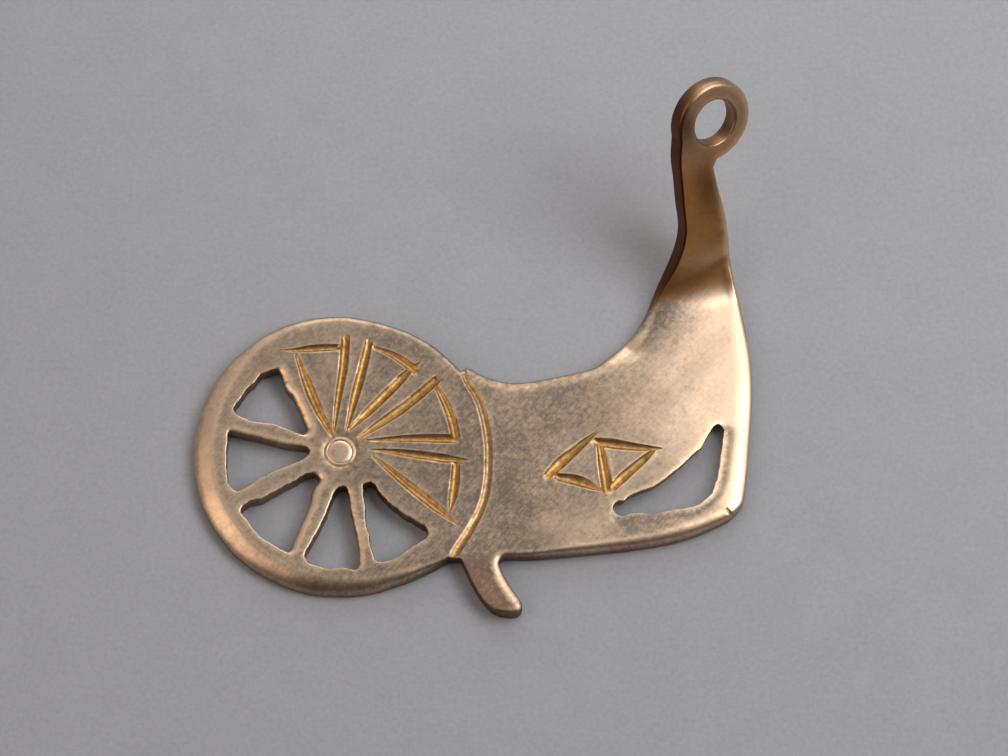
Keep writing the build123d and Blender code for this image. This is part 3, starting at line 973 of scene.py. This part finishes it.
    # graver strokes: spokes and chords on the wheel, the figure on the body, the seam and a nick
    cuts: tuple[Cut, ...] = (
        Cut(((-0.41, 0.88), (-1.15, 2.36), (-1.71, 3.80), (-2.03, 4.67)),
            (0.08, 0.17, 0.20, 0.15, 0.06)),
        Cut(((-0.28, 1.02), (-0.12, 2.46), (0.08, 3.90), (0.18, 5.45)),
            (0.05, 0.11, 0.15, 0.18, 0.17)),
        Cut(((0.30, 1.12), (0.60, 2.46), (0.94, 3.90), (1.23, 5.25)),
            (0.06, 0.14, 0.18, 0.18, 0.15)),
        Cut(((0.43, 1.07), (1.76, 2.46), (2.64, 3.42), (3.22, 4.04), (3.53, 4.29)),
            (0.06, 0.17, 0.19, 0.18, 0.03)),
        Cut(((0.80, 0.64), (1.99, 1.50), (3.10, 2.36), (4.30, 3.47)),
            (0.06, 0.16, 0.20, 0.20, 0.17)),
        Cut(((1.24, 0.54), (2.67, 0.62), (4.00, 0.64), (5.16, 0.62)),
            (0.03, 0.10, 0.15, 0.18, 0.17)),
        Cut(((1.43, 0.09), (2.67, -0.03), (4.01, -0.22), (5.12, -0.36), (5.79, -0.38)),
            (0.03, 0.12, 0.17, 0.18, 0.02)),
        Cut(((1.52, -0.26), (2.68, -1.26), (3.58, -2.02), (4.47, -2.77), (5.22, -3.45)),
            (0.06, 0.14, 0.19, 0.18, 0.02)),
        Cut(((-2.62, 4.87), (-2.17, 4.87), (-1.41, 4.94), (-0.20, 5.01)),
            (0.02, 0.09, 0.15, 0.16, 0.13)),
        Cut(((1.46, 5.01), (2.41, 4.58), (3.27, 3.95)), (0.06, 0.12, 0.16, 0.18)),
        Cut(((4.26, 3.13), (4.66, 2.36), (4.98, 1.50), (5.16, 0.69)), (0.08, 0.16, 0.18, 0.17)),
        Cut(((5.17, -0.60), (5.13, -1.35), (5.00, -2.30), (4.87, -2.96)), (0.15, 0.18, 0.16, 0.02)),
        Cut(((11.36, 0.88), (10.46, 0.07), (9.79, -0.55), (9.25, -1.12)),
            (0.06, 0.15, 0.20, 0.22, 0.16)),
        Cut(((14.29, 0.16), (13.35, 0.21), (12.46, 0.33), (11.44, 0.45)),
            (0.04, 0.13, 0.17, 0.21, 0.18)),
        Cut(((9.70, -1.21), (10.67, -1.40), (11.34, -1.69), (11.78, -1.87)),
            (0.15, 0.21, 0.21, 0.14, 0.02)),
        Cut(((11.57, 0.26), (11.70, -0.50), (11.83, -1.35), (11.87, -1.78)), (0.12, 0.19, 0.22, 0.20)),
        Cut(((14.02, 0.12), (13.35, -0.50), (12.67, -1.12), (12.13, -1.69)),
            (0.05, 0.15, 0.18, 0.20, 0.16)),
        Cut(((5.47, 3.80), (5.69, 3.27), (5.96, 2.84), (6.18, 2.41), (6.34, 1.93), (6.45, 1.45),
             (6.59, 0.54), (6.62, -0.41), (6.58, -1.35), (6.41, -2.30), (6.04, -3.24), (5.51, -4.18),
             (5.20, -4.70), (5.08, -5.04)),
            (0.10, 0.15, 0.155, 0.145, 0.145, 0.16, 0.18), depth=0.50, burr=0.012, bright=0.72),
        Cut(((17.14, -2.60), (17.36, -3.08)), (0.04, 0.11), depth=1.1, burr=0.01, bright=0.6),
    )

    # radii of the rails that the triangles follow at the struck ring
    ring_rails: tuple[float, ...] = (0.67, 0.72, 0.77)

    # how far an edge's shine, rubbed wear and painted highlight, reaches over the face, and how bright
    # the lips of the cuts are
    gleam: float = 0.05
    lip_gleam: float = 0.36

    # dull skin left on the flats by distance to the right of the hub, and the most there is anywhere
    skin: Pairs = (
        (-6.5, 0.55), (0.0, 0.70), (5.0, 0.84), (7.5, 0.92), (9.5, 0.84), (12.0, 0.68), (14.0, 0.50),
        (16.0, 0.32), (18.5, 0.20))
    skin_most: float = 0.92

    # tarnish of the neck by distance past the fold line
    neck_tarnish: Pairs = (
        (0.7, 0.0), (1.15, 0.25), (1.5, 0.85), (2.1, 0.90), (2.8, 0.60), (3.3, 0.60), (4.0, 0.95),
        (5.2, 1.00), (6.5, 1.00), (7.5, 0.90), (8.5, 0.65), (10.0, 0.45), (11.0, 0.40))

    # grime at the neck's right and on the loop: strength, middle and width across, and so along
    stains: Rows = ((0.65, 2.3, 0.8, 6.4, 1.4), (0.75, 2.0, 0.6, 9.8, 1.0))

    def outline(self) -> Contour:
        """Outer edge: the rim's arc, then leg, bottom, right side, neck, loop and top, each a curve.

        Returns:
            The contour, with wear that changes smoothly from one stretch to the next.
        """
        turn = np.radians(np.linspace(self.rim_turns[0], self.rim_turns[-1], self.rim_steps))
        radius = np.interp(np.degrees(turn), self.rim_turns, self.rim_radii)
        radius += sum(high * np.sin(waves * turn + phase) for high, waves, phase in self.rim_ripple)
        strip = np.array(self.fold.stations)
        around = np.radians(np.linspace(*self.loop_span, self.loop_steps))
        loop = np.column_stack((np.sin(around), np.cos(around))) * self.loop_r + self.loop_at
        neck_right = np.vstack((strip[:-1, [0, 2]], self.corner[:1]))
        neck_left = np.vstack((loop[-1:], self.neck_head, strip[:0:-1, [0, 1]], self.neck_root))
        runs = {
            Stretch.RIM: radius[:, None] * np.column_stack((np.cos(turn), np.sin(turn))),
            Stretch.NOTCH: np.linspace(*self.notch, self.notch_steps),
            Stretch.LEG_BACK: spline(self.leg_back, self.step),
            Stretch.LEG_SIDE: spline(self.leg_side, self.step),
            Stretch.BOTTOM: spline(self.bottom, self.step),
            Stretch.RIGHT: spline(self.right, self.step),
            Stretch.NECK_RIGHT: spline(self.fold.flat(neck_right), self.step),
            Stretch.LOOP: self.fold.flat(np.vstack((self.corner, loop))),
            Stretch.NECK_LEFT: spline(self.fold.flat(neck_left), self.step),
            Stretch.TOP: spline(self.top, self.step),
        }
        wear = dict(self.wear)
        points = np.vstack([run[:-1] for run in runs.values()])
        worn = []
        for name, run in runs.items():
            share = np.linspace(0, 1, len(run))[:-1]
            place, *columns = np.transpose(wear[name])
            worn.append(np.column_stack([np.interp(share, place, column) for column in columns]))
        worn = blur(blur(np.vstack(worn), self.edge_blur), self.edge_blur)
        return Contour(points, *worn.T)

    def holes(self) -> list[Contour]:
        """Windows, opening, hanging hole and hub bore, each drawn clockwise with its own wear.

        Returns:
            The contours.
        """
        made = []
        for knots, sides, saw in zip((*self.windows, self.opening), self.hole_wear, self.hole_saw):
            points = spline(knots, self.saw_step, closed=True)
            edge = Contour(points, *np.zeros((2, len(points))), stride=self.saw_stride)
            facing = edge.facing()
            run = np.arange(len(points)) * self.saw_step + knots[0][0]
            marks = sum(share * np.sin(rate * run + phase) for share, rate, phase in self.saw_marks)
            edge.points = points + edge.inward() * (facing @ saw * marks)[:, None]
            edge.inset = blur(facing @ sides, self.hole_blur)
            edge.drop = self.hole_fall * edge.inset
            # widely rounded edges were filed, and shine
            edge.facet = 0.5 * ramp(edge.inset, *self.hole_filed)
            edge.shine = self.hole_shine + edge.facet
            made.append(edge)
        opening = made[-1]
        opening.lean = blur(opening.facing() @ self.opening_lean, self.hole_blur)
        # painted highlight: a wall that leans back catches the light, so it is coloured paler and less
        # shaded
        opening.shine = 0.25 + 1.2 * opening.lean
        around = np.radians(np.linspace(360, 0, self.round_steps, endpoint=False))
        circle = np.column_stack((np.cos(around), np.sin(around)))
        hole = self.fold.flat(circle[::-1] * self.loop_hole_r + self.loop_at)
        mouth = np.full((2, self.round_steps), self.loop_hole_wear)
        # the hanging hole's wall is soiled with grime and painted shade
        made.append(Contour(hole, *mouth, shine=0.2, soil_and_shade=0.5))
        mouth = np.outer(self.hub_wear, np.ones(self.round_steps))
        made.append(Bore(circle * self.hub_r, *mouth))
        return made

    def sheet(self, rings: list[Array], spacing: float, rails: list[Array]) -> tuple[Array, Array]:
        """Triangles over the sheet: rings as borders, rails along the cuts, and a grid between.

        Args:
            rings: closed borders.
            spacing: distance between the grid's points, which stand in equal-sided triangles.
            rails: lines that the triangles follow.

        Returns:
            Flat points and triangles.
        """
        border = np.vstack(rings)
        low, high = border.min(axis=0), border.max(axis=0)
        rows, columns = np.ceil((high - low) / spacing / (1, ROW)).astype(int)[::-1] + 1
        column, row = np.meshgrid(np.arange(columns), np.arange(rows))
        grid = np.column_stack(((column + row % 2 / 2).ravel(), ROW * row.ravel())) * spacing + low
        points, edges, total = [border], [], 0
        for ring in rings:
            at = np.arange(len(ring)) + total
            edges.append(np.column_stack((at, np.roll(at, -1))))
            total += len(ring)
        for rail in rails:
            keep = inside(rail, rings) & (nearest_point(rail, border)[0] > self.rail_room)
            at = np.cumsum(keep) - 1 + total
            edges.append(np.column_stack((at[:-1], at[1:]))[keep[:-1] & keep[1:]])
            points.append(rail[keep])
            total += keep.sum()
        fixed = np.vstack(points)
        grid = grid[inside(grid, rings)]
        # grid points in the same cell as a fixed point, or in one next to it, are left out
        cell = self.grid_room * spacing
        around = np.stack(np.mgrid[-1:2, -1:2], -1).reshape(-1, 2)
        near = np.round(fixed / cell).astype(int)[:, None] + around
        taken = np.isin(np.round(grid / cell).astype(int) @ KEY, np.unique(near @ KEY))
        spots = np.vstack((fixed, grid[~taken]))
        found, _, faces, *_ = delaunay_2d_cdt(
            [Vector(spot) for spot in spots.tolist()], np.vstack(edges).tolist(), [], 0, WELD, False)
        flat, faces = np.array([spot[:] for spot in found]), np.array(faces)
        return flat, faces[inside(flat[faces].mean(axis=1), rings)]

    def tones(self, flat: Array, worn: Array, side: Array, gap: Array) -> dict[str, Array]:
        """Where the metal is grimy, tarnished and dull, as ramps and bells over the pattern.

        Grime and painted shade lie on the walls, and grime lies in patches on the neck and loop, and on
        the leg. Tarnish follows the neck, a little sooner at the right, and is rubbed off the worn
        edges.
        The dull skin thins out to the right. More of it is left below the opening, on the leg and in
        the trough, and less at the body's lower middle; before the bend it is thickened as painted
        shade.

        Args:
            flat: flat-pattern points.
            worn: how far each is worn bright, a pale colour that also stands as painted highlight.
            side: how far each is on a wall darkened by grime and painted shade.
            gap: distance of each from the trough's line.

        Returns:
            The marks side, aged and film.
        """
        x, y = flat.T
        along, across = self.fold.strip(flat)
        for strength, right, wide, up, long in self.stains:
            side = side + strength * (1 - side) * bell((across, right, wide), (along, up, long))
        past_seam = ramp(x, 5.4, 0.6)
        leg = ramp(-y, 4.8, 0.6) * past_seam * (1 - 0.9 * worn)
        side = side + 0.28 * (1 - side) * leg
        slanted = along + 0.22 * np.clip(across, -2.5, 2.5)
        aged = np.interp(slanted, *np.transpose(self.neck_tarnish))
        aged = aged * ramp(across, -4.0, 0.6) * (1 - 0.8 * worn) + 0.12 * leg
        film = np.interp(x, *np.transpose(self.skin))
        film += 0.25 * ramp(-y, 2.0, 1.2) * ramp(x, 11.5, 1.5)
        film += 0.30 * ramp(-y, 4.7, 0.6) * past_seam
        film -= 0.30 * bell((x, 10.0, 2.2), (y, -3.6, 1.0))
        # painted shade: the film is thickened before the bend to darken the face where it turns from
        # the lights
        film += 0.55 * bell((across, -1.2, 1.6), (along, 1.2, 1.4))
        film += 0.55 * bell((gap, 0.25, 0.14))
        return {"side": side, "aged": aged, "film": np.minimum(film, self.skin_most)}

    def build(self) -> bpy.types.Object:
        """Makes the plate: face, edges and back in one closed shell, then folded.

        Returns:
            The object.
        """
        contours = [self.outline(), *self.holes()]
        hollow = spline(self.opening[slice(*self.hollow)], self.step)
        relief = Relief(self.cuts, self.fold, hollow)
        rails = [rail for cut in relief.cuts for rail in cut.rails()]
        around = np.linspace(0, 2 * np.pi, self.ring_steps)[:, None]
        rails += [np.hstack((np.cos(around), np.sin(around))) * radius for radius in self.ring_rails]
        tops = [edge.ring(edge.inset) for edge in contours]
        face, triangles = self.sheet(tops, self.filler, rails)
        height, cut, lip = relief.face(face)
        gloss = np.concatenate([np.broadcast_to(edge.shine, len(edge.points)) for edge in contours])
        gap, closest = nearest_point(face, np.vstack(tops))
        # worn: pale rubbed metal near the edges, partly painted highlight, and the bright lips of the
        # cuts
        worn = np.maximum(np.exp(-gap / self.gleam) * gloss[closest], self.lip_gleam * lip)
        flats, heights, cuts, wears, sides = [face], [height], [cut], [worn], [np.zeros(len(face))]
        polygons = [triangles.tolist()]
        total = len(face)
        for edge, ring in zip(contours, tops):
            top, within, _ = relief.face(ring)
            inset, level = edge.rows(top)
            rows, count = inset.shape
            flats.append((edge.points + inset[..., None] * edge.inward()).reshape(-1, 2))
            heights.append(level.ravel())
            # from 1 at the face to 0 at the back; the shine fades down the edge, and painted shade and
            # grime grow, but none is left on the last row, which the back shares
            fade = np.linspace(1, 0, rows)[:, None]
            shine, soil_and_shade = (np.broadcast_to(value, count) for value in (edge.shine, edge.soil_and_shade))
            cuts.append((within * fade).ravel())
            wears.append((smooth(fade * 2.0 - 0.5) * shine).ravel())
            # painted shade: each wall darkens towards its foot, less where it shines; the soiling adds
            # grime and painted shade
            wall = smooth(2.6 * (1 - fade) - 1.2) * (0.90 - 0.7 * shine)
            dirt_and_shade = smooth((1 - fade) * (1 + 7 * soil_and_shade)) * soil_and_shade
            sides.append((np.maximum(wall, dirt_and_shade) * (fade > 0)).ravel())
            at = np.arange(rows * count).reshape(rows, count) + total
            ahead = np.roll(at, -1, axis=1)
            quads = np.stack((at[:-1], at[1:], ahead[1:], ahead[:-1]), axis=-1)
            polygons.append(quads.reshape(-1, 4).tolist())
            total += rows * count
        feet = [edge.ring(edge.bevel + edge.lean) for edge in contours]
        back, behind = self.sheet(feet, self.back_filler, [])
        polygons.append((behind[:, ::-1] + total).tolist())
        flats.append(back)
        for values in (heights, cuts, wears, sides):
            values.append(np.zeros(len(back)))
        flat, high, worn = np.vstack(flats), np.concatenate(heights), np.concatenate(wears)
        marks = {"flat": np.column_stack((flat, high)), "cut": np.concatenate(cuts), "worn": worn}
        marks |= self.tones(flat, worn, np.concatenate(sides), nearest(flat, hollow)[0])
        return make_piece(
            "charm_plate_worn", self.fold.place(flat, high), sum(polygons, []), marks)

    def dress(self, piece: bpy.types.Object) -> None:
        """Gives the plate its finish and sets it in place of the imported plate.

        Args:
            piece: the plate.
        """
        piece.data.materials.append(self.finish.material())
        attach(piece, "root")
        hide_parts("charm_plate")


@dataclass
class AxlePin:
    """The headed pin in the hub, its head flush with the face and a little domed.

    bright_from and bright_run say where its rim gets bright, and what lies above lit is the head.
    Below lit the pin sits in the bore and is painted dark as shade.
    """

    finish: WornBrass = WornBrass("worn_pin_brass", clean="#ecd0b0", dull="#b49c82")
    shank_r: float = 0.40
    head_r: float = 0.54
    seat: float = 0.65
    foot: float = 0.04
    chamfer: float = 0.04
    dome: float = 0.022
    cap_steps: int = 16
    turn_steps: int = 96
    bright_from: float = 0.36
    bright_run: float = 0.12
    lit: float = 0.8
    film: float = 0.4

    def build(self) -> bpy.types.Object:
        """Makes the pin: a profile of radius and height turned about the hub's axis.

        The head is a shallow cap whose fall is a small share of the square of the radius and a large
        share of its sixth power, so that its middle is nearly flat and its rim rolls over.

        Returns:
            The object.
        """
        share = np.linspace(0, 1, self.cap_steps)
        fall = self.dome * (0.4 * share**2 + 1.6 * share**6)
        cap = np.column_stack((share * self.head_r, SHEET - fall))
        wall = np.array((
            (self.head_r, self.seat), (self.shank_r, self.seat),
            (self.shank_r, self.foot + self.chamfer), (self.shank_r - self.chamfer, self.foot),
            (0.0, self.foot)))
        profile = np.vstack((cap, wall))
        around = np.linspace(0, 2 * np.pi, self.turn_steps, endpoint=False)[:, None]
        flat = np.stack((np.cos(around) * profile[:, 0], np.sin(around) * profile[:, 0]), axis=-1)
        flat = flat.reshape(-1, 2)
        high = np.tile(profile[:, 1], len(around))
        at = np.arange(len(high)).reshape(len(around), -1)
        ahead = np.roll(at, -1, axis=0)
        faces = np.stack((at[:, :-1], at[:, 1:], ahead[:, 1:], ahead[:, :-1]), axis=-1).reshape(-1, 4)
        spots = np.column_stack((flat, high))
        bright = ramp(np.hypot(*flat.T), self.bright_from, self.bright_run) * (high > self.lit)
        none = np.zeros(len(high))
        # painted shade: below lit the pin sits in the bore and is coloured dark
        marks = {
            "flat": spots, "cut": none, "worn": bright, "side": np.where(high < self.lit, 1.0, 0.0),
            "aged": none, "film": np.full(len(high), self.film)}
        return make_piece("axle_pin_worn", spots * MM, faces.tolist(), marks)

    def dress(self, piece: bpy.types.Object) -> None:
        """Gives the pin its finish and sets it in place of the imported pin.

        Args:
            piece: the pin.
        """
        piece.data.materials.append(self.finish.material())
        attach(piece, "root")
        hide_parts("axle_pin")


@dataclass
class Studio:
    """Grey paper, a dim room with a pale wall behind, four softboxes and the camera."""

    paper: GreyPaper = GreyPaper()
    paper_half: float = 0.6
    paper_drop: float = 2e-5
    target_mm: tuple[float, float, float] = (7.30, 3.87, 0.0)
    away_mm: float = 200.0
    elevation: float = 68.4
    lens: float = 158.7
    sensor: float = 36.0
    near: float = 0.01

    def floor(self) -> None:
        """Lays the paper just under the plate's back."""
        side = np.array(((-1, -1), (1, -1), (1, 1), (-1, 1))) * self.paper_half
        spots = np.column_stack((side, np.full(4, -self.paper_drop)))
        mesh = bpy.data.meshes.new("paper_floor")
        mesh.from_pydata(spots.tolist(), [], [(0, 1, 2, 3)])
        piece = bpy.data.objects.new("paper_floor", mesh)
        bpy.context.scene.collection.objects.link(piece)
        mesh.materials.append(self.paper.material())

    def lamp(self, name: str, way: tuple[float, float, float], half_angle: float, radiance: float,
             reach: float, tint: tuple[float, float, float] = (1.0, 1.0, 1.0)) -> None:
        """Hangs a round softbox that faces the charm.

        Args:
            name: name of the lamp.
            way: direction from the charm to the lamp.
            half_angle: half of the angle that the lamp covers, in degrees.
            radiance: brightness of its face; power is that times pi times its area.
            reach: distance of the lamp, in metres.
            tint: colour of the light.
        """
        radius = reach * np.tan(np.radians(half_angle))
        data = bpy.data.lights.new(name, "AREA")
        data.shape = "DISK"
        data.size = 2 * radius
        data.energy = radiance * np.pi * np.pi * radius**2
        data.color = tint
        piece = bpy.data.objects.new(name, data)
        aim = Vector(way).normalized()
        piece.location = Vector(self.target_mm) * MM + aim * reach
        piece.rotation_euler = aim.to_track_quat("Z", "Y").to_euler()
        bpy.context.scene.collection.objects.link(piece)

    def light(self) -> None:
        """Sets the world, a pale wall behind and a dim room in front, and the softboxes."""
        world = bpy.data.worlds.new("studio")
        world.use_nodes = True
        tree = world.node_tree
        way = add_node(tree, "ShaderNodeTexCoord", {}, {}).outputs["Generated"]
        parts = add_node(tree, "ShaderNodeSeparateXYZ", {}, {"Vector": way}).outputs
        rise = add_node(tree, "ShaderNodeMath", {"operation": "MULTIPLY_ADD"}, {
            0: parts["Y"], 1: 0.5, 2: parts["Z"]}).outputs["Value"]
        glow = add_node(tree, "ShaderNodeMapRange", {"clamp": True}, {
            "Value": rise, "From Min": 0.40, "From Max": 1.10,
            "To Min": 0.085, "To Max": 0.36}).outputs["Result"]
        wall = add_node(tree, "ShaderNodeMapRange", {"clamp": True}, {
            "Value": parts["Y"], "From Min": 0.35, "From Max": 0.90,
            "To Max": 0.30}).outputs["Result"]
        both = add_node(
            tree, "ShaderNodeMath", {"operation": "ADD"}, {0: glow, 1: wall}).outputs["Value"]
        background = tree.nodes["Background"]
        tree.links.new(both, background.inputs["Strength"])
        background.inputs["Color"].default_value = (1.0, 1.0, 1.0, 1.0)
        bpy.context.scene.world = world
        self.lamp("key_softbox", (0.74, -0.09, 0.67), 14.0, 4.2, 0.40)
        self.lamp("top_softbox", (0.50, 0.22, 0.84), 17.0, 3.1, 0.12)
        self.lamp("back_softbox", (0.05, 0.88, 0.48), 22.0, 1.5, 0.10)
        self.lamp("left_fill", (-0.76, -0.22, 0.61), 25.0, 1.25, 0.45, (1.0, 0.80, 0.66))

    def camera(self) -> None:
        """Sets the camera at the photograph's angle."""
        data = bpy.data.cameras.new("camera")
        data.lens = self.lens
        data.sensor_width = self.sensor
        data.clip_start = self.near
        piece = bpy.data.objects.new("camera", data)
        rise = np.radians(self.elevation)
        aim = Vector((0.0, -np.cos(rise), np.sin(rise)))
        piece.location = (Vector(self.target_mm) + aim * self.away_mm) * MM
        piece.rotation_euler = aim.to_track_quat("Z", "Y").to_euler()
        bpy.context.scene.collection.objects.link(piece)
        bpy.context.scene.camera = piece


def main() -> None:
    """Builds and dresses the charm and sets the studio."""
    logging.basicConfig(level=logging.INFO, format="%(name)s %(message)s")
    for part in (CharmPlate(), AxlePin()):
        piece = part.build()
        part.dress(piece)
        LOG.info("dressed %s", piece.name)
    studio = Studio()
    studio.floor()
    studio.light()
    studio.camera()
    bpy.context.scene.view_settings.view_transform = "Standard"


if __name__ == "__main__":
    main()
